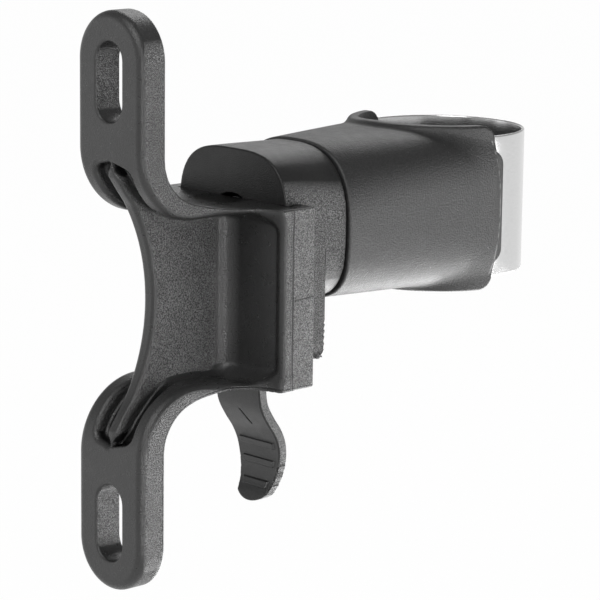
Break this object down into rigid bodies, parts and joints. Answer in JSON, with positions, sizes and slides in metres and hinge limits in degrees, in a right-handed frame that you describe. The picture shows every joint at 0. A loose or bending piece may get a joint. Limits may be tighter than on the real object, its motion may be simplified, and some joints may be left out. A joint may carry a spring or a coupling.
{
  "type": "bottle cage adapter",
  "caption": "Bottle cage adapter: a slotted plastic bracket with webbed flanges on a rail block, clamped to a round tube by a steel band in a rubber sleeve, with a release lever.",
  "frame": {"origin": "centre of the clamped tube at the height of the clamp block's axis", "axes": "+Z along the tube, upwards; -Y is the way the cage lugs face; +X to the right seen from the front"},
  "size_m": [0.0292, 0.081, 0.084],
  "materials": {
    "bracket_plastic": "fine grain",
    "block_plastic": "fine grain",
    "lever_plastic": "satin",
    "sleeve_rubber": "satin",
    "band_steel": "satin",
    "screw_steel": "zinc plated",
    "cast_zinc": "as cast",
    "spring_steel": "polished"
  },
  "bodies": {
    "clamp": {"cage_bracket": "bracket_plastic", "clamp_body": "block_plastic", "rubber_sleeve": "sleeve_rubber", "steel_band": "band_steel", "lever_pin": "screw_steel", "lever_spring": "spring_steel"},
    "screw": {"tension_screw": "screw_steel", "screw_washer": "screw_steel"},
    "carriage": {"pull_block": "cast_zinc", "band_pin_left": "screw_steel", "band_pin_right": "screw_steel"},
    "lever": {"release_lever": "lever_plastic"}
  },
  "joints": [
    {"name": "lever_press", "type": "hinge", "parent": "clamp", "child": "lever", "pos_m": [0, -0.0402, -0.0136], "axis": [1, 0, 0], "range_deg": [0, 14], "stiffness_Nm_per_rad": 0.02, "springref_deg": -85.94, "deforming": ["lever_spring"]},
    {"name": "screw_turn", "type": "hinge", "parent": "clamp", "child": "screw", "pos_m": [0, -0.04, 0], "axis": [0, -1, 0], "range_deg": [0, 900]},
    {"name": "carriage_slide", "type": "slide", "parent": "clamp", "child": "carriage", "axis": [0, 1, 0], "range_m": [0, 0.002], "deforming": ["steel_band"]}
  ],
  "couplings": [
    {"joint": "screw_turn", "follows": "carriage_slide", "rad_per_m": 7854}
  ]
}
